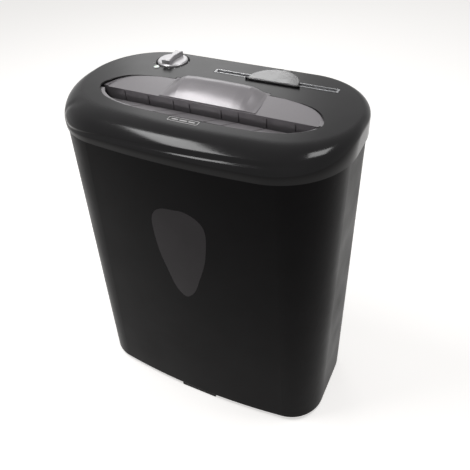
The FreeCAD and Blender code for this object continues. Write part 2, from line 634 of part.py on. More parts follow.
# two-step reduction on the left: motor pinion, double gear, drive gear on the rear cutter
small_span = (size.drive_teeth + size.reducer_small_teeth) * size.drive_module / 2
large_span = (size.reducer_large_teeth + size.pinion_teeth) * size.pinion_module / 2
gap_y = motor_spot[0] - rear_spot[0]
gap_z = motor_spot[1] - rear_spot[1]
gap = math.hypot(gap_y, gap_z)
along = (small_span ** 2 - large_span ** 2 + gap ** 2) / (2 * gap)
aside = math.sqrt(small_span ** 2 - along ** 2)
reducer_spot = (rear_spot[0] + (along * gap_y - aside * gap_z) / gap,
                rear_spot[1] + (along * gap_z + aside * gap_y) / gap)
large_start = -118.5
small_start = -127
small_phase = mesh_phase(int(size.drive_teeth), 0, rear_spot, int(size.reducer_small_teeth), reducer_spot)
pinion_phase = mesh_phase(int(size.reducer_large_teeth), 0, reducer_spot, int(size.pinion_teeth), motor_spot)
shaped("drive_gear", gear(int(size.drive_teeth), size.drive_module, 0, small_start, 7, rear_spot,
                          size.journal_radius))
pin_bore = 3
large_wheel = gear(int(size.reducer_large_teeth), size.pinion_module, 0, large_start, 5, reducer_spot,
                   pin_bore + size.fit)
small_wheel = gear(int(size.reducer_small_teeth), size.drive_module, small_phase, small_start, 8.5,
                   reducer_spot, pin_bore + size.fit)
shaped("reduction_gear", large_wheel.fuse(small_wheel).removeSplitter())
shaped("motor_pinion", gear(int(size.pinion_teeth), size.pinion_module, pinion_phase, large_start, 5,
                            motor_spot, 2.5))
pin_start = Vector(-size.plate_half_gap - size.plate_thick, *reducer_spot)
reducer_pin = Part.makeCylinder(pin_bore, 17, pin_start, Vector(-1, 0, 0))
pin_shoulder = Part.makeCylinder(5, 2, pin_start, Vector(-1, 0, 0))
shaped("reduction_pin", reducer_pin.fuse(pin_shoulder).removeSplitter())

# ---------------------------------------------------------------- motor
motor_face = "-plate_half_gap"
can_profile = [("7+fit", 0), ("motor_radius", 0), ("motor_radius", "motor_length"),
               ("motor_radius-2", "motor_length"), ("motor_radius-2", 2), ("7+fit", 2)]
node(turned("MotorCan", can_profile, (motor_face, "motor_axle", "motor_height"), ALONG_X), "motor_can")
nose_profile = [("2.5+fit", 0), (7, 0), (7, 6), ("2.5+fit", 6)]
node(turned("MotorNose", nose_profile, (motor_face, "motor_axle", "motor_height"), ALONG_X), "motor_front_bearing")
cap_profile = [("2.5+fit", -3), ("motor_radius-2", -3), ("motor_radius-2", 0), ("motor_radius", 0),
               ("motor_radius", 3), (8, 3), (8, 9), ("2.5+fit", 9)]
node(turned("MotorCap", cap_profile, (f"{motor_face}+motor_length", "motor_axle", "motor_height"), ALONG_X),
     "motor_end_cap")
shaft_start = large_start
node(rod("MotorShaft", 2.5, f"motor_length+{-shaft_start - size.plate_half_gap + 8:g}",
         (shaft_start, "motor_axle", "motor_height")), "motor_shaft")
core_profile = [(2.5, 0), (6, 0), (6, 6), (13.5, 8), (13.5, 42), (6, 44), (6, 50), (2.5, 50)]
node(turned("MotorCore", core_profile, ("-plate_half_gap+8", "motor_axle", "motor_height"), ALONG_X),
     "motor_armature")

# ---------------------------------------------------------------- disc breaker
wheel_bore = Part.Wire(Part.makeCircle(4, Vector(), Vector(1, 0, 0)))
wheel_places = [size.disc_pitch * step for step in (-1, 2, 5, 8, 11)]
wheels = [moved(toothed_disc(size.wheel_radius, 3, wheel_bore, 12, 1.2), x - 1.5, *roller_spot)
          for x in wheel_places]
shaped("disc_roller_wheels", Part.makeCompound(wheels))
node(rod("DiscRollerShaft", 4, 144, (-22.5, "roller_axle", "axle_height")), "disc_roller_shaft")
bracket = cuboid((-22, 34, 284), (-19.5, 59.2, 332))
bracket_hole = Part.makeCylinder(4 + size.fit, 20, Vector(-30, *roller_spot), Vector(1, 0, 0))
anvil_front = size.roller_axle + size.wheel_radius + 0.7
anvil = cuboid((-19.5, anvil_front, 286), (size.plate_half_gap, anvil_front + 2.8, 331))
bracket_foot = cuboid((-22, 34, size.tub_floor + size.wall), (-19.5, 39.5, 284))
shaped("disc_anvil", bracket.fuse([anvil, bracket_foot]).cut(bracket_hole).removeSplitter())

# ---------------------------------------------------------------- controls and electrics
knob_disc = turned("KnobDisc", [(0, 0), ("knob_radius-0.6", 0), ("knob_radius", 0.8), ("knob_radius", 3),
                                ("knob_radius-1.2", 4), (0, 4)],
                   ("knob_across", "knob_back", 348))
knob_grip = plate("KnobGrip", [(-4.6, -13.6), (4.6, -13.6), (2.4, 0), (4.6, 13.6), (-4.6, 13.6), (-2.4, 0)], 4.6,
                  ("knob_across", "knob_back", 351.8))
rounded(knob_grip, 0.9, lambda edge: edge.BoundBox.ZMin > 4.5)
knob_stem = rod("KnobStem", 3, 12, ("knob_across", "knob_back", 337), UPRIGHT)
node(joined("KnobJoined", [knob_disc, knob_grip, knob_stem]), "mode_knob")
switch_body = block("SwitchBody", (24, 20, 15), ("knob_across-12", "knob_back-10", 330))
switch_bore = rod("SwitchBore", "3+fit", 12, ("knob_across", "knob_back", 336.5), UPRIGHT)
node(without("SwitchCut", switch_body, [switch_bore]), "mode_switch")

lens_profile = [(0, -2.6), (2, -2.6), (2, 0), (2.9, 0), (2.9, 0.5), (2, 1), (0, 1.1)]
node(turned("LampLens", lens_profile, ("lamp_across", "lamp_back", "head_top"), UPRIGHT), "indicator_lens")
node(turned("LampBulb", [(0, 0), (1.6, 0), (1.6, 6), (0, 7.4)], ("lamp_across", "lamp_back", 340),
            UPRIGHT), "indicator_lamp")

board = block("BoardSheet", (92, 1.6, 44), (-50, -62.5, 272))
relay = block("BoardRelay", (19, 8, 15), (-42, -60.9, 284))
choke = block("BoardChoke", (16, 7.5, 16), (-16, -60.9, 283))
capacitor = rod("BoardCapacitor", 4.2, 8, (12, -60.9, 292), ALONG_Y)
node(joined("BoardJoined", [board, relay, choke, capacitor]), "control_board")
board_rail = block("BoardRail", (98, 5, 15.5), (-53, -64.2, 260.5))
node(without("BoardRailCut", board_rail, [block("BoardSlot", (92, 1.6, 20), (-50, -62.5, 272))]), "board_rail")

switch_box = block("InterlockBox", (12, 5.6, 5.4), ("post_across-6", "post_back-2.8", 338.4))
plunger_bore = rod("InterlockBore", "1.5+fit", 5.2, ("post_across", "post_back", 338), UPRIGHT)
node(without("InterlockCut", switch_box, [plunger_bore]), "interlock_switch")
node(rod("InterlockPlunger", 1.5, 6, ("post_across", "post_back", 336.05), UPRIGHT), "interlock_plunger")

cutout_profile = [(0, 0), (5, 0), (5, 4), (2, 5), (2, 7), (0, 7)]
node(turned("ThermalCutout", cutout_profile, (-60, "motor_axle", "motor_height+motor_radius"), UPRIGHT),
     "thermal_cutout")

gland_profile = [(2.9, -8), (5.8, -8), (5.8, -4.4), (4.55, -3.2), (4.55, 0), (5.4, 0), (4.9, "gland_lip"), (2.9, "gland_lip")]
node(turned("CableGland", gland_profile, ("gland_across", "head_back", "gland_height"), ALONG_Y),
     "cable_gland")

sensor_axle = (-19, 328)
sensor_block = cuboid((-9, -33.5, 326.4), (9, -23.5, 336))
ears = [cuboid((x, -24, 326.4), (x + 2, -17, 330.2)) for x in (-6, 4)]
sensor_pin = Part.makeCylinder(1, 12, Vector(-6, *sensor_axle), Vector(1, 0, 0))
shaped("sensor_switch", sensor_block.fuse(ears + [sensor_pin]).removeSplitter())
lever_arm = cuboid((-1.6, -19, 327), (1.6, -7.6, 329))
lever_hub = Part.makeCylinder(2.2, 7.6, Vector(-3.8, *sensor_axle), Vector(1, 0, 0))
lever_bore = Part.makeCylinder(1 + size.fit, 20, Vector(-10, *sensor_axle), Vector(1, 0, 0))
shaped("sensor_lever", lever_arm.fuse(lever_hub).cut(lever_bore).removeSplitter())


def lead(points, radius):
    """A wire along straight runs, each corner rounded by a tangent arc."""
    spots = [Vector(*point) for point in points]
    edges = []
    last = spots[0]
    for before, corner, after in zip(spots, spots[1:], spots[2:]):
        arrive = (corner - before).normalize()
        leave = (after - corner).normalize()
        turn = arrive.getAngle(leave)
        run = min((corner - before).Length, (after - corner).Length)
        set_back = 0.45 * run
        bend = set_back / math.tan(turn / 2)
        start = corner - arrive * set_back
        end = corner + leave * set_back
        inward = (leave - arrive).normalize()
        middle = corner + inward * (bend / math.cos(turn / 2) - bend)
        edges += [Part.makeLine(last, start), Part.Arc(start, middle, end).toShape()]
        last = end
    edges.append(Part.makeLine(last, spots[-1]))
    path = Part.Wire(edges)
    first = spots[1] - spots[0]
    ring = Part.Wire(Part.makeCircle(radius, spots[0], first))
    return path.makePipeShell([ring], True, False)


cap_face = -size.plate_half_gap + size.motor_length + 3
motor_leads = [lead([(cap_face, 54, 269.5 + lift), (-15, 54, 268 + lift), (15, 57.6, 266 + lift),
                     (60, 58, 266 + lift), (112, 59, 266 + lift), (122, 46, 264.5 + lift),
                     (127, 5, 262.3 + lift), (121, -20, 262.3 + lift), (115, -39, 262.3 + lift),
                     (106, -52, 262.3 + lift), (88, -58, 264 + lift), (70, -60.5, 271 + lift), (54, -61.7, 280 + lift),
                     (42.9, -61.7, 283 + lift)], 1.3)
               for lift in (0, 4)]
shaped("motor_leads", Part.makeCompound(motor_leads))
supply = lead([(size.gland_across, size.head_back - 13, size.gland_height), (-53, 60, 335.5), (-63, 44, 335.5),
               (-88, 33, 335.5), (-112, 24, 336.5), (-124, 0, 339), (-122, -36, 340), (-102, -53, 338), (-76, -58, 328), (-60, -61.7, 313),
               (-51, -61.7, 306)], 2.2)
shaped("supply_lead", supply)

# ---------------------------------------------------------------- check and write
doc.recompute()
for obj in doc.Objects:
    if "Invalid" in obj.State or "Error" in obj.State:
        raise RuntimeError(f"{obj.Label}: {obj.State}")
for obj in nodes:
    if obj.Shape.isNull() or not obj.Shape.isValid() or not obj.Shape.Solids:
        raise RuntimeError(f"{obj.Label}: bad shape")
os.makedirs("parts", exist_ok=True)
# the depth is drawn from the throat; the kept origin is under the middle of the whole object
to_middle = Vector(0, (size.head_front - size.head_back - size.gland_lip) / 2, 0)
for obj in nodes:
    obj.Shape.translated(to_middle).exportStep(f"parts/{obj.Label}.step")
print(len(nodes), "sub-parts")
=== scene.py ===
import math

import bmesh
import bpy
from mathutils import Matrix, Vector


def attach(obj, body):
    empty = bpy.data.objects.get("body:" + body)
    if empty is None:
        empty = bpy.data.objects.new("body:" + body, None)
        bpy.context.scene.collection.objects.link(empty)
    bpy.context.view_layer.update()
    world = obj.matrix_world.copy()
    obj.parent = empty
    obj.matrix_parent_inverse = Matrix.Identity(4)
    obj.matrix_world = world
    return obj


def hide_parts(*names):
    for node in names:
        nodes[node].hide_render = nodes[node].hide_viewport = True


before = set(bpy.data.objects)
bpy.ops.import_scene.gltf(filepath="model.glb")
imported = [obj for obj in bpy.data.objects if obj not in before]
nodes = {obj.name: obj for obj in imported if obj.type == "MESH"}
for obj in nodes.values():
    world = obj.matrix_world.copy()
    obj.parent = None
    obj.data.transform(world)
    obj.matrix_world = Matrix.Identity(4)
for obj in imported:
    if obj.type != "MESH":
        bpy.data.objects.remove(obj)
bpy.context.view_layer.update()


# ---------------------------------------------------------------- camera
# The shredder is seen from the front right, from above the head, with a long-ish lens.
# The camera leans a little to its left; the shift only brings the bin into the frame.
scene = bpy.context.scene
camera_data = bpy.data.cameras.new("camera")
camera = bpy.data.objects.new("camera", camera_data)
scene.collection.objects.link(camera)
scene.camera = camera
camera_data.sensor_width = 36.0
camera_data.lens = 42.9
camera_data.shift_x = -0.0152
camera_data.shift_y = -0.0617
camera_place = Vector((0.2367, -0.40825, 0.5843))
camera_turn, camera_dip, camera_lean = 0.473, 0.657, -0.047

level_right = Vector((math.cos(camera_turn), math.sin(camera_turn), 0))
level_ahead = Vector((-math.sin(camera_turn), math.cos(camera_turn), 0))
ahead = level_ahead * math.cos(camera_dip) - Vector((0, 0, math.sin(camera_dip)))
above = level_ahead * math.sin(camera_dip) + Vector((0, 0, math.cos(camera_dip)))
lens_right = level_right * math.cos(camera_lean) + above * math.sin(camera_lean)
lens_up = above * math.cos(camera_lean) - level_right * math.sin(camera_lean)
lens_axes = Matrix((lens_right, lens_up, -ahead)).transposed()
camera.matrix_world = Matrix.Translation(camera_place) @ lens_axes.to_4x4()


# ---------------------------------------------------------------- studio
# A white floor that runs out of sight under a white room, with a long softbox over the front of
# the head, one over its right corner and one behind it. The floor keeps the bin's soft shadow.
def seen_directly(tree):
    """One for camera, glossy and transmission rays, and none for the rest."""
    rays = tree.nodes.new("ShaderNodeLightPath")
    total = None
    for kind in ("Is Camera Ray", "Is Glossy Ray", "Is Transmission Ray"):
        if total is None:
            total = rays.outputs[kind]
            continue
        larger = tree.nodes.new("ShaderNodeMath")
        larger.operation = "MAXIMUM"
        tree.links.new(total, larger.inputs[0])
        tree.links.new(rays.outputs[kind], larger.inputs[1])
        total = larger.outputs["Value"]
    return total


room = bpy.data.worlds.new("white_room")
scene.world = room
room.use_nodes = True
room_light = room.node_tree.nodes["Background"]
room_light.inputs["Color"].default_value = (1, 1, 1, 1)
room_strength = room.node_tree.nodes.new("ShaderNodeMapRange")
room_strength.inputs["To Min"].default_value = 0.25
room_strength.inputs["To Max"].default_value = 1.0
room.node_tree.links.new(seen_directly(room.node_tree), room_strength.inputs["Value"])
room.node_tree.links.new(room_strength.outputs["Result"], room_light.inputs["Strength"])

floor_half = 6.0
floor_mesh = bpy.data.meshes.new("floor")
floor_mesh.from_pydata([(x * floor_half, y * floor_half, 0) for x, y in ((-1, -1), (1, -1), (1, 1), (-1, 1))],
                       [], [(0, 1, 2, 3)])
floor = bpy.data.objects.new("floor", floor_mesh)
scene.collection.objects.link(floor)
floor_paper = bpy.data.materials.new("floor_paper")
floor_paper.use_nodes = True
floor_tree = floor_paper.node_tree
floor_shader = floor_tree.nodes["Principled BSDF"]
floor_shader.inputs["Base Color"].default_value = (0.8, 0.79, 0.78, 1)
floor_shader.inputs["Roughness"].default_value = 0.9
floor_shader.inputs["Specular IOR Level"].default_value = 0.0
floor_shader.inputs["Emission Color"].default_value = (1, 0.985, 0.97, 1)
floor_glow = floor_tree.nodes.new("ShaderNodeMath")
floor_glow.operation = "MULTIPLY"
floor_glow.inputs[1].default_value = 0.58
floor_tree.links.new(seen_directly(floor_tree), floor_glow.inputs[0])
floor_tree.links.new(floor_glow.outputs["Value"], floor_shader.inputs["Emission Strength"])
floor_mesh.materials.append(floor_paper)


def softbox(name, place, target, wide, deep, watts):
    """A rectangular lamp at a place, turned to face a target."""
    lamp_data = bpy.data.lights.new(name, "AREA")
    lamp_data.shape = "RECTANGLE"
    lamp_data.size = wide
    lamp_data.size_y = deep
    lamp_data.energy = watts
    lamp = bpy.data.objects.new(name, lamp_data)
    scene.collection.objects.link(lamp)
    lamp.location = place
    lamp.rotation_mode = "QUATERNION"
    lamp.rotation_quaternion = (Vector(target) - Vector(place)).to_track_quat("-Z", "Y")


softbox("front_softbox", (-0.46, -0.2, 1.2), (0, -0.07, 0.34), 0.56, 0.24, 7)
softbox("corner_softbox", (0.42, 0.16, 1.2), (0.12, -0.05, 0.34), 0.3, 0.26, 3.4)
softbox("rear_softbox", (-0.55, 0.95, 0.85), (-0.02, 0.02, 0.35), 0.5, 0.34, 1.5)


# ---------------------------------------------------------------- bin
# The bin is one deep black moulding with a bowed front, open at the top for the head.
# It has the fine satin grain of an etched mould, and its roughness varies a little at random.
def new_finish(name, colour, roughness, **sockets):
    """A material whose shader carries its constant values; a pattern can be added to it."""
    finish = bpy.data.materials.new(name)
    finish.use_nodes = True
    shader = finish.node_tree.nodes["Principled BSDF"]
    shader.inputs["Base Color"].default_value = (*colour, 1)
    shader.inputs["Roughness"].default_value = roughness
    for socket, value in sockets.items():
        shader.inputs[socket.replace("_", " ").title().replace("Ior", "IOR")].default_value = value
    return finish


def noise(finish, size, detail=3.0, stretch=(1, 1, 1)):
    """A noise over the object's own coordinates, with spots of about this size in metres."""
    tree = finish.node_tree
    where = tree.nodes.new("ShaderNodeTexCoord")
    fit = tree.nodes.new("ShaderNodeMapping")
    fit.inputs["Scale"].default_value = stretch
    spots = tree.nodes.new("ShaderNodeTexNoise")
    spots.inputs["Scale"].default_value = 1 / size
    spots.inputs["Detail"].default_value = detail
    tree.links.new(where.outputs["Object"], fit.inputs["Vector"])
    tree.links.new(fit.outputs["Vector"], spots.inputs["Vector"])
    return spots.outputs["Fac"]


def vary(finish, socket, pattern, low, high):
    """The socket runs from low to high where the pattern runs from its dark to its light spots."""
    tree = finish.node_tree
    spread = tree.nodes.new("ShaderNodeMapRange")
    spread.inputs["From Min"].default_value = 0.3
    spread.inputs["From Max"].default_value = 0.7
    spread.inputs["To Min"].default_value = low
    spread.inputs["To Max"].default_value = high
    tree.links.new(pattern, spread.inputs["Value"])
    tree.links.new(spread.outputs["Result"], tree.nodes["Principled BSDF"].inputs[socket])


def tint(finish, pattern, dark, light):
    """The base colour runs from dark to light with the pattern."""
    tree = finish.node_tree
    ramp = tree.nodes.new("ShaderNodeValToRGB")
    ramp.color_ramp.elements[0].position = 0.3
    ramp.color_ramp.elements[0].color = (*dark, 1)
    ramp.color_ramp.elements[1].position = 0.7
    ramp.color_ramp.elements[1].color = (*light, 1)
    tree.links.new(pattern, ramp.inputs["Fac"])
    tree.links.new(ramp.outputs["Color"], tree.nodes["Principled BSDF"].inputs["Base Color"])


def relief(finish, pattern, height):
    """The pattern raises the surface by up to this height in metres."""
    tree = finish.node_tree
    bump = tree.nodes.new("ShaderNodeBump")
    bump.inputs["Distance"].default_value = height
    tree.links.new(pattern, bump.inputs["Height"])
    tree.links.new(bump.outputs["Normal"], tree.nodes["Principled BSDF"].inputs["Normal"])


def coat(finish, *names):
    """These nodes of the frame get this finish."""
    for name in names:
        for holder in nodes[name].material_slots:
            holder.material = finish


bin_black = new_finish("bin_black", (0.0025, 0.0022, 0.0025), 0.36, specular_ior_level=0.05)
tint(bin_black, noise(bin_black, 0.03), (0.002, 0.0017, 0.002), (0.0035, 0.003, 0.0035))
vary(bin_black, "Roughness", noise(bin_black, 0.05), 0.3, 0.4)
relief(bin_black, noise(bin_black, 0.0007), 0.00002)
coat(bin_black, "bin_shell")


# ---------------------------------------------------------------- feet
# Two long rubber strips and four round pads carry the bin; each is pushed into its own socket
# and its rubber is matt, a little dusty, with a fine moulded grain.
foot_rubber = new_finish("foot_rubber", (0.018, 0.017, 0.016), 0.8, specular_ior_level=0.3)
tint(foot_rubber, noise(foot_rubber, 0.004, 5), (0.012, 0.011, 0.011), (0.03, 0.028, 0.026))
relief(foot_rubber, noise(foot_rubber, 0.0005), 0.00004)
coat(foot_rubber, "front_foot", "rear_foot", "corner_feet", "cable_gland")


# ---------------------------------------------------------------- sight window
# A smoked acrylic pane snapped into the front of the bin from inside. It is polished, with the faint haze of
# wiping.
smoked_acrylic = new_finish("smoked_acrylic", (0.02, 0.017, 0.019), 0.14, specular_ior_level=0.12)
tint(smoked_acrylic, noise(smoked_acrylic, 0.04), (0.017, 0.014, 0.016), (0.024, 0.02, 0.023))
vary(smoked_acrylic, "Roughness", noise(smoked_acrylic, 0.02, 5), 0.1, 0.2)
coat(smoked_acrylic, "bin_window")


# ---------------------------------------------------------------- cutting head cover
# One gloss-black moulding: a deep roll in front that ends in a rounded pillow at the left corner,
# a small rim elsewhere, and a satin top plate with openings for the throat, knob and disc slot.
# Its sizes are in millimetres, and its depths run from a line just in front of the object's middle.
line_ahead = 3.75
cover_half = 144.8
cover_front = 81.5
cover_back = 88
cover_corner = 70
cover_bow = 12.3
cover_wall = 2.5
parting_level = 327
roll_start = 330
rim_start = 343
plate_level = 350
roll_height = plate_level - roll_start
roll_depth = 31
rim_depth = plate_level - rim_start
above_plate = plate_level + 2
through_plate = 340


def spot(x, y, height):
    """A corner in metres, in the frame, from its sizes in millimetres."""
    return Vector((x, y - line_ahead, height)) / 1000


def arc_spot(centre_x, centre_y, radius, angle, height):
    """The corner at this angle of a round about an upright line."""
    return spot(centre_x + radius * math.cos(angle), centre_y + radius * math.sin(angle), height)


def cover_row(half, front, back, corner, height):
    """One closed row round the cover: bowed front, four round corners, straight sides and back."""
    bow_radius = (half * half + cover_bow * cover_bow) / (2 * cover_bow)
    bow_middle = bow_radius - front
    reach = half - corner
    corner_line = bow_middle - math.sqrt((bow_radius - corner) ** 2 - reach ** 2)
    lean = math.atan2(corner_line - bow_middle, reach)
    spread = math.pi / 2 + lean
    front_steps = 200
    corner_steps = 36
    row = []
    for step in range(front_steps):
        angle = -math.pi / 2 - spread + 2 * spread * step / front_steps
        row.append(arc_spot(0, bow_middle, bow_radius, angle, height))
    corners = (
        (reach, corner_line, lean, 0),
        (reach, back - corner, 0, math.pi / 2),
        (-reach, back - corner, math.pi / 2, math.pi),
        (-reach, corner_line, math.pi, math.pi - lean),
    )
    for centre_x, centre_y, start, end in corners:
        meets_side = end in (0, math.pi)
        for step in range(corner_steps + meets_side):
            angle = start + (end - start) * step / corner_steps
            row.append(arc_spot(centre_x, centre_y, corner, angle, height))
    return row


def cover_rows(inset, low, top):
    """Rows from the parting line up over the roll to the edge of the top plate."""
    skirt_steps = roll_start - parting_level
    roll_steps = 40
    rows = []
    for step in range(-skirt_steps, roll_steps + 1):
        rise = max(0.0, math.sin(step / roll_steps * math.pi / 2))
        level = roll_start + roll_height * rise + min(step, 0)
        front_in = inset + roll_depth * (1 - math.sqrt(max(0.0, 1 - rise ** 2.2)))
        rim_rise = max(0.0, (level - rim_start) / rim_depth)
        side_in = inset + rim_depth * (1 - math.sqrt(1 - rim_rise ** 2))
        height = low + (level - parting_level) * (top - low) / (plate_level - parting_level)
        rows.append(cover_row(cover_half - side_in, cover_front - front_in, cover_back - side_in,
                              cover_corner - side_in, height))
    return rows


def stacked(name, rows):
    """A closed solid through rows of equal length, with its faces turned outwards."""
    around = len(rows[0])
    faces = []
    for under in range(0, (len(rows) - 1) * around, around):
        over = under + around
        for here in range(around):
            ahead_of = (here + 1) % around
            faces.append((under + here, under + ahead_of, over + ahead_of, over + here))
    faces.append(tuple(reversed(range(around))))
    faces.append(tuple(range((len(rows) - 1) * around, len(rows) * around)))
    mesh = bpy.data.meshes.new(name)
    mesh.from_pydata([corner for row in rows for corner in row], [], faces)
    form = bmesh.new()
    form.from_mesh(mesh)
    bmesh.ops.recalc_face_normals(form, faces=form.faces)
    form.to_mesh(mesh)
    form.free()
    made = bpy.data.objects.new(name, mesh)
    scene.collection.objects.link(made)
    return made


def cut(piece, tool, operation="DIFFERENCE"):
    """Cut the tool out of the piece, or add it, and remove the tool."""
    change = piece.modifiers.new("cut", "BOOLEAN")
    change.operation = operation
    change.solver = "EXACT"
    change.object = tool
    result = bpy.data.meshes.new_from_object(piece.evaluated_get(bpy.context.evaluated_depsgraph_get()))
    piece.modifiers.clear()
    piece.data = result
    bpy.data.objects.remove(tool)


def smoothed(piece):
    """Round shading, with the edges between faces that meet sharply kept sharp."""
    for polygon in piece.data.polygons:
        polygon.use_smooth = True
    piece.data.set_sharp_from_angle(angle=math.radians(32))


def crease_depth(x, z):
    """How deep the crease round the pillow and along the front is at this place, in millimetres."""
    half_width = 1.5
    path = [(-104, 349.2, 0.0), (-117, 346.9, 0.5), (-124, 342, 0.9), (-125.5, 336.2, 1.0),
            (-121, 332.8, 1.0), (-114, 331.9, 1.0), (-95, 334.4, 1.0), (-63.5, 337.6, 1.2),
            (13.6, 339.6, 1.3), (71, 341, 1.1), (118, 341.6, 0.0)]
    deepest = 0.0
    for (x0, z0, depth0), (x1, z1, depth1) in zip(path, path[1:]):
        run = (x1 - x0) ** 2 + (z1 - z0) ** 2
        share = max(0.0, min(1.0, ((x - x0) * (x1 - x0) + (z - z0) * (z1 - z0)) / run))
        away = math.hypot(x - x0 - share * (x1 - x0), z - z0 - share * (z1 - z0))
        depth = (depth0 + share * (depth1 - depth0)) * math.exp(-(away / half_width) ** 2)
        deepest = max(deepest, depth)
    return deepest


cover = stacked("head_cover", cover_rows(0, parting_level, plate_level))
for vertex in cover.data.vertices:
    on_front = vertex.co.y < -0.02
    if on_front and vertex.co.z * 1000 < plate_level - 0.5:
        vertex.co -= vertex.normal * crease_depth(vertex.co.x * 1000, vertex.co.z * 1000) / 1000
cut(cover, stacked("cover_room", cover_rows(cover_wall, parting_level - 0.1, plate_level - cover_wall)))


def lens_row(grow, height):
    """The feed opening as one smooth closed curve: wide in the middle and pointed at both ends."""
    middle = -7
    half_length = 113
    half_depth = 34
    right = [(38, -40), (72, -37), (98, -27.5), (half_length, -8), (98, 15.5), (58, 24.5)]
    points = [(0, -41)] + right + [(0, 26.5)] + [(-x, y) for x, y in reversed(right)]
    steps = 8
    row = []
    for index in range(len(points)):
        run = [Vector(points[(index + step) % len(points)]) for step in (-1, 0, 1, 2)]
        before, here, after, beyond = run
        for step in range(steps):
            t = step / steps
            first = (after - before) * t
            second = (before * 2 - here * 5 + after * 4 - beyond) * t ** 2
            third = (here * 3 - before - after * 3 + beyond) * t ** 3
            place = (here * 2 + first + second + third) / 2
            row.append(spot(place.x * (1 + grow / half_length),
                            middle + (place.y - middle) * (1 + grow / half_depth), height))
    return row


def disc_row(centre, radius, height, count=64):
    """One round row about an upright line."""
    return [arc_spot(*centre, radius, math.tau * step / count, height) for step in range(count)]


def pad_row(box, grow, radius, height):
    """One rounded rectangle, grown on all sides, as a row. The box is its left, front, right and back."""
    left, front, right, back = box
    outwards = radius - grow
    corners = ((right - outwards, back - outwards), (left + outwards, back - outwards),
               (left + outwards, front + outwards), (right - outwards, front + outwards))
    steps = 8
    row = []
    for quarter, (x, y) in enumerate(corners):
        for step in range(steps + 1):
            row.append(arc_spot(x, y, radius, (quarter + step / steps) * math.pi / 2, height))
    return row


cut(cover, stacked("lens_tool", [
    lens_row(0, through_plate),
    lens_row(0, plate_level - 0.6),
    lens_row(0.5, plate_level),
    lens_row(1, above_plate),
]))

hump_box = (-50.2, 10, 50.2, 29.2)
cut(cover, stacked("hump_tool", [
    pad_row(hump_box, 0, 2, through_plate),
    pad_row(hump_box, 0, 2, plate_level - 0.5),
    pad_row(hump_box, 0.6, 2.6, plate_level + 0.1),
    pad_row(hump_box, 1.8, 3, above_plate),
]))

knob_line = (-74.7, 61.5)
well_radius = 17.3
well_floor = 347.3
cut(cover, stacked("well_cup", [
    disc_row(knob_line, well_radius + 1.5, 344.9),
    disc_row(knob_line, well_radius + 1.5, 349),
]), "UNION")
cut(cover, stacked("well_tool", [
    disc_row(knob_line, well_radius, well_floor),
    disc_row(knob_line, well_radius, plate_level - 0.6),
    disc_row(knob_line, well_radius + 0.6, plate_level),
    disc_row(knob_line, well_radius + 1.7, plate_level + 1.1),
]))
cut(cover, stacked("knob_bore", [disc_row(knob_line, 4, level, 32) for level in (343, above_plate)]))

lamp_line = (-82.5, 42.3)
cut(cover, stacked("lamp_bore", [disc_row(lamp_line, 2, level, 24) for level in (343, above_plate)]))

slot_box = (-21.8, 52.3, 106.6, 59.7)
cut(cover, stacked("slot_tool", [
    pad_row(slot_box, 0, 0.4, through_plate),
    pad_row(slot_box, 0, 0.4, plate_level - 0.4),
    pad_row(slot_box, 0.5, 0.8, plate_level + 0.1),
    pad_row(slot_box, 2.3, 1, above_plate),
]))

notch_line = (43.9, 79.5)
notch_radius = 6
cut(cover, stacked("notch_tool", [
    disc_row(notch_line, notch_radius, plate_level - 1.2, 40),
    disc_row(notch_line, notch_radius + 0.6, plate_level + 0.4, 40),
]))

# the lead's gland goes through the back wall, so its bore is a disc tipped backwards
gland_line = (-52, line_ahead)
gland_height = 0.3355
tip_back = Matrix.Rotation(-math.pi / 2, 3, "X")
gland_rows = []
for depth in (72, 92):
    upright = disc_row(gland_line, 4.6, depth, 32)
    gland_rows.append([tip_back @ corner + Vector((0, 0, gland_height)) for corner in upright])
cut(cover, stacked("gland_tool", gland_rows))

# two lugs beside the disc slot carry the flap's pin
flap_middle = 42.4
flap_reach = 26.9
for lug_x in (flap_middle - flap_reach, flap_middle + flap_reach):
    lug_box = (lug_x - 1, 48.5, lug_x + 1, 50.9)
    lug_rows = [
        pad_row(lug_box, 0, 0.5, plate_level - 2),
        pad_row(lug_box, 0, 0.5, plate_level + 1.6),
        pad_row((lug_x - 0.7, 49, lug_x + 0.7, 50.4), 0, 0.4, plate_level + 2.2),
    ]
    cut(cover, stacked("lug", lug_rows), "UNION")
smoothed(cover)

cover_black = new_finish("cover_black", (0.004, 0.0035, 0.004), 0.16, specular_ior_level=0.18)
tint(cover_black, noise(cover_black, 0.03), (0.0032, 0.0028, 0.0032), (0.0055, 0.0048, 0.0055))
relief(cover_black, noise(cover_black, 0.0006), 0.000008)


def above_level(finish, low, high, under, over, socket):
    """The socket runs from one value under a height to another over it, with a fine variation."""
    tree = finish.node_tree
    where = tree.nodes.new("ShaderNodeTexCoord")
    axes = tree.nodes.new("ShaderNodeSeparateXYZ")
    blend = tree.nodes.new("ShaderNodeMapRange")
    blend.inputs["From Min"].default_value = low
    blend.inputs["From Max"].default_value = high
    blend.inputs["To Min"].default_value = under
    blend.inputs["To Max"].default_value = over
    mottle = tree.nodes.new("ShaderNodeMath")
    mottle.operation = "MULTIPLY_ADD"
    mottle.inputs[1].default_value = 0.06
    tree.links.new(where.outputs["Object"], axes.inputs["Vector"])
    tree.links.new(axes.outputs["Z"], blend.inputs["Value"])
    tree.links.new(noise(finish, 0.02), mottle.inputs[0])
    tree.links.new(blend.outputs["Result"], mottle.inputs[2])
    tree.links.new(mottle.outputs["Value"], tree.nodes["Principled BSDF"].inputs[socket])


above_level(cover_black, 0.3494, 0.3499, 0.1, 0.27, "Roughness")
cover.data.materials.clear()
cover.data.materials.append(cover_black)
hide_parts("top_cover")
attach(cover, "head")


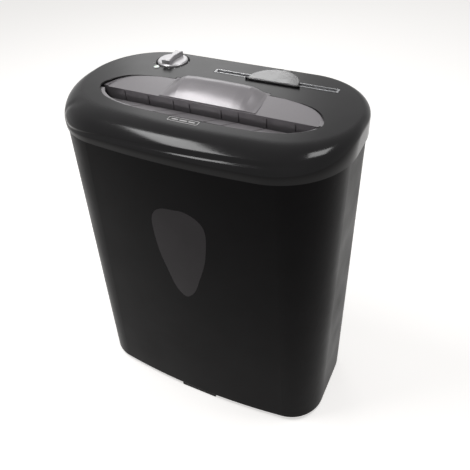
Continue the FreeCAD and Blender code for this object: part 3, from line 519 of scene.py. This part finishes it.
# ---------------------------------------------------------------- lower housing
# The tub under the cover is the same black plastic, left with the dull finish of the mould
# because it hangs inside the bin. The board rail is part of it.
housing_black = new_finish("housing_black", (0.01, 0.0095, 0.01), 0.5, specular_ior_level=0.3)
tint(housing_black, noise(housing_black, 0.02), (0.008, 0.0076, 0.008), (0.013, 0.012, 0.013))
relief(housing_black, noise(housing_black, 0.0009), 0.00003)
coat(housing_black, "head_base", "board_rail")


# ---------------------------------------------------------------- throat plates and knob
# The raised hood, the ramp in front of the slit and the mode knob are ABS sprayed with a fine
# silver paint: it has a soft sheen and the grain of its metal flakes.
def silver_paint(name, level, shade):
    paint = new_finish(name, (0.3, 0.29, 0.3), level, metallic=0.3, specular_ior_level=0.5, coat_weight=0.15,
                       coat_roughness=0.2)
    darker = tuple(0.9 * part for part in shade)
    lighter = tuple(1.1 * part for part in shade)
    tint(paint, noise(paint, 0.0004, 2), darker, lighter)
    vary(paint, "Roughness", noise(paint, 0.03), level - 0.04, level + 0.05)
    relief(paint, noise(paint, 0.0005), 0.000012)
    return paint


coat(silver_paint("throat_silver", 0.34, (0.165, 0.155, 0.163)), "feed_hood", "front_guide")
coat(silver_paint("knob_silver", 0.3, (0.32, 0.31, 0.32)), "mode_knob")


# ---------------------------------------------------------------- mode marks
# Fine raised ticks moulded round the front of the knob and painted pale: they mark its stops.
marks_tree = bpy.data.node_groups.new("mode_marks", "GeometryNodeTree")
for input_name, kind, value in (("Count", "NodeSocketInt", 7), ("Radius", "NodeSocketFloat", 0.0192),
                                ("Sweep", "NodeSocketFloat", 1.9), ("Length", "NodeSocketFloat", 0.0022),
                                ("Width", "NodeSocketFloat", 0.0005), ("Height", "NodeSocketFloat", 0.00024)):
    marks_input = marks_tree.interface.new_socket(input_name, in_out="INPUT", socket_type=kind)
    marks_input.default_value = value
marks_tree.interface.new_socket("Finish", in_out="INPUT", socket_type="NodeSocketMaterial")
marks_tree.interface.new_socket("Geometry", in_out="OUTPUT", socket_type="NodeSocketGeometry")
marks_nodes = {}
for node_name, kind in (("sizes", "NodeGroupInput"), ("line", "GeometryNodeMeshLine"),
                        ("bar_size", "ShaderNodeCombineXYZ"), ("bar", "GeometryNodeMeshCube"),
                        ("number", "GeometryNodeInputIndex"), ("last", "ShaderNodeMath"),
                        ("share", "ShaderNodeMath"), ("from_middle", "ShaderNodeMath"),
                        ("turn", "ShaderNodeMath"), ("turns", "ShaderNodeCombineXYZ"),
                        ("spoke", "ShaderNodeCombineXYZ"), ("place", "ShaderNodeVectorRotate"),
                        ("set_place", "GeometryNodeSetPosition"), ("put", "GeometryNodeInstanceOnPoints"),
                        ("real", "GeometryNodeRealizeInstances"), ("paint", "GeometryNodeSetMaterial"),
                        ("result", "NodeGroupOutput")):
    marks_nodes[node_name] = marks_tree.nodes.new(kind)
for node_name, operation, second in (("last", "SUBTRACT", 1.0), ("share", "DIVIDE", 1.0),
                                     ("from_middle", "SUBTRACT", 0.5), ("turn", "MULTIPLY", 1.0)):
    marks_nodes[node_name].operation = operation
    marks_nodes[node_name].inputs[1].default_value = second
marks_nodes["place"].rotation_type = "Z_AXIS"
for giver, output, taker, socket in (
        ("sizes", "Count", "line", "Count"), ("sizes", "Count", "last", 0),
        ("number", "Index", "share", 0), ("last", "Value", "share", 1),
        ("share", "Value", "from_middle", 0), ("from_middle", "Value", "turn", 0),
        ("sizes", "Sweep", "turn", 1), ("turn", "Value", "turns", "Z"),
        ("sizes", "Radius", "spoke", "Y"), ("spoke", "Vector", "place", "Vector"),
        ("turn", "Value", "place", "Angle"), ("line", "Mesh", "set_place", "Geometry"),
        ("place", "Vector", "set_place", "Position"), ("set_place", "Geometry", "put", "Points"),
        ("sizes", "Width", "bar_size", "X"), ("sizes", "Length", "bar_size", "Y"),
        ("sizes", "Height", "bar_size", "Z"), ("bar_size", "Vector", "bar", "Size"),
        ("bar", "Mesh", "put", "Instance"), ("turns", "Vector", "put", "Rotation"),
        ("put", "Instances", "real", "Geometry"), ("real", "Geometry", "paint", "Geometry"),
        ("sizes", "Finish", "paint", "Material"), ("paint", "Geometry", "result", "Geometry")):
    marks_tree.links.new(marks_nodes[giver].outputs[output], marks_nodes[taker].inputs[socket])

mark_paint = new_finish("mark_paint", (0.35, 0.34, 0.34), 0.5, specular_ior_level=0.4)
tint(mark_paint, noise(mark_paint, 0.0006), (0.3, 0.29, 0.29), (0.42, 0.41, 0.41))
marks_holder = bpy.data.objects.new("marks_holder", bpy.data.meshes.new("marks_holder"))
scene.collection.objects.link(marks_holder)
marks_maker = marks_holder.modifiers.new("marks", "NODES")
marks_maker.node_group = marks_tree
for item in marks_tree.interface.items_tree:
    if item.name == "Finish":
        marks_maker[item.identifier] = mark_paint
marks_made = marks_holder.evaluated_get(bpy.context.evaluated_depsgraph_get())
marks_mesh = bpy.data.meshes.new_from_object(marks_made)
bpy.data.objects.remove(marks_holder)
marks_middle = Matrix.Translation(spot(*knob_line, plate_level + 0.08))
marks_mesh.transform(marks_middle @ Matrix.Rotation(math.pi, 4, "Z"))
marks = bpy.data.objects.new("mode_marks", marks_mesh)
scene.collection.objects.link(marks)
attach(marks, "head")


# ---------------------------------------------------------------- name plate place
# A bare raised frame moulded on the front of the top plate, where a name plate would be stuck.
# It is left empty, with plain bars inside, and painted with the pale paint of the mode marks.
frame_box = (-15, -49, 15, -42.2)
frame_room = (-14.3, -48.3, 14.3, -42.9)
frame_rows = [pad_row(frame_box, 0, 1.6, plate_level + rise) for rise in (-0.1, 0.22)]
room_rows = [pad_row(frame_room, 0, 1.1, plate_level + rise) for rise in (-0.2, 0.4)]
plate_frame = stacked("plate_frame", frame_rows)
cut(plate_frame, stacked("plate_room", room_rows))
for bar_left, bar_right in ((-11.5, -5.2), (-3.6, 3.6), (5.2, 11.5)):
    bar_box = (bar_left, -46.5, bar_right, -44.7)
    bar_rows = [pad_row(bar_box, 0, 0.7, plate_level + rise) for rise in (-0.1, 0.18)]
    cut(plate_frame, stacked("plate_bar", bar_rows), "UNION")
smoothed(plate_frame)
plate_frame.data.materials.clear()
plate_frame.data.materials.append(mark_paint)
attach(plate_frame, "head")


# ---------------------------------------------------------------- disc slot and flap
# A clear moulded strip round the disc slot and a grey-tinted half-round flap over it, both of polished
# acrylic.
clear_acrylic = new_finish("clear_acrylic", (0.8, 0.8, 0.82), 0.12, specular_ior_level=0.5,
                           transmission_weight=0.75, ior=1.49)
vary(clear_acrylic, "Roughness", noise(clear_acrylic, 0.01, 5), 0.08, 0.2)
tint(clear_acrylic, noise(clear_acrylic, 0.01), (0.74, 0.74, 0.76), (0.84, 0.84, 0.86))
coat(clear_acrylic, "disc_slot_bezel")

grey_acrylic = new_finish("grey_acrylic", (0.12, 0.118, 0.12), 0.14, specular_ior_level=0.5,
                          transmission_weight=0.5, ior=1.49)
vary(grey_acrylic, "Roughness", noise(grey_acrylic, 0.01, 5), 0.1, 0.22)
tint(grey_acrylic, noise(grey_acrylic, 0.01), (0.1, 0.098, 0.1), (0.15, 0.147, 0.15))
coat(grey_acrylic, "disc_flap")


# ---------------------------------------------------------------- lamp, plunger and sensor
# Small parts in milky white acetal: the lamp's lens, the interlock's plunger and the paper lever.
lamp_white = new_finish("lamp_white", (0.75, 0.75, 0.73), 0.3, specular_ior_level=0.5, subsurface_weight=0.15)
tint(lamp_white, noise(lamp_white, 0.002), (0.7, 0.7, 0.68), (0.8, 0.8, 0.78))
coat(lamp_white, "indicator_lens", "indicator_lamp", "interlock_plunger", "sensor_lever")


# ---------------------------------------------------------------- cutting frame
# Zinc-plated pressed steel side plates with turned tie rods and screws. The plating has a soft
# blue-grey spangle and fine drawing lines.
def metal(name, colour, roughness, grain, stretch=(1, 1, 1)):
    """A bare metal with streaks or spots of grain."""
    made = new_finish(name, colour, roughness, metallic=1.0)
    pattern = noise(made, grain, 4, stretch)
    tint(made, pattern, tuple(0.82 * part for part in colour), tuple(1.0 * part for part in colour))
    vary(made, "Roughness", noise(made, grain * 3, 3, stretch), roughness - 0.07, roughness + 0.1)
    relief(made, noise(made, grain / 2, 3, stretch), 0.00001)
    return made


coat(metal("zinc_plate", (0.58, 0.6, 0.63), 0.36, 0.004),
     "cover_screws", "left_side_plate", "right_side_plate", "tie_rods", "frame_screws", "reduction_pin",
     "motor_can", "disc_anvil")
coat(metal("cutter_steel", (0.42, 0.41, 0.41), 0.3, 0.002, (1, 8, 8)),
     "front_cutter_shaft", "rear_cutter_shaft", "front_cutter_discs", "rear_cutter_discs",
     "front_sync_gear", "rear_sync_gear", "drive_gear", "disc_roller_wheels", "disc_roller_shaft",
     "motor_shaft", "motor_pinion")
coat(metal("sinter_bronze", (0.5, 0.34, 0.18), 0.5, 0.0008), "shaft_bushes", "motor_front_bearing")
coat(metal("wound_copper", (0.72, 0.35, 0.2), 0.34, 0.0008, (6, 1, 1)), "motor_armature")


# ---------------------------------------------------------------- strippers, spacers and switches
# Grey nylon mouldings that comb the shreds off the cutters, hold the discs apart and carry the
# contacts. They have a fine sparked grain.
grey_nylon = new_finish("grey_nylon", (0.2, 0.2, 0.21), 0.5, specular_ior_level=0.4)
tint(grey_nylon, noise(grey_nylon, 0.008), (0.17, 0.17, 0.18), (0.23, 0.23, 0.24))
relief(grey_nylon, noise(grey_nylon, 0.0006), 0.00002)
coat(grey_nylon, "front_stripper", "rear_stripper", "motor_end_cap", "mode_switch", "interlock_switch",
     "thermal_cutout", "sensor_switch", "front_cutter_spacers", "rear_cutter_spacers")

gear_nylon = new_finish("gear_nylon", (0.72, 0.69, 0.6), 0.42, specular_ior_level=0.4, subsurface_weight=0.1)
tint(gear_nylon, noise(gear_nylon, 0.006), (0.66, 0.63, 0.54), (0.76, 0.73, 0.64))
relief(gear_nylon, noise(gear_nylon, 0.0007), 0.00002)
coat(gear_nylon, "roller_gear", "reduction_gear")


# ---------------------------------------------------------------- board and leads
# A green glass-fibre board with its copper lines under the lacquer, and leads in black PVC.
board_green = new_finish("board_green", (0.03, 0.14, 0.05), 0.3, specular_ior_level=0.5)
tint(board_green, noise(board_green, 0.0012, 2, (1, 4, 1)), (0.02, 0.1, 0.035), (0.05, 0.2, 0.08))
relief(board_green, noise(board_green, 0.001), 0.00003)
coat(board_green, "control_board")

lead_cover = new_finish("lead_cover", (0.02, 0.02, 0.021), 0.45, specular_ior_level=0.4)
tint(lead_cover, noise(lead_cover, 0.003), (0.015, 0.015, 0.016), (0.03, 0.03, 0.031))
relief(lead_cover, noise(lead_cover, 0.0006), 0.00002)
coat(lead_cover, "motor_leads", "supply_lead")


# ---------------------------------------------------------------- finish
camera_data.dof.use_dof = False
scene.view_settings.view_transform = "Standard"
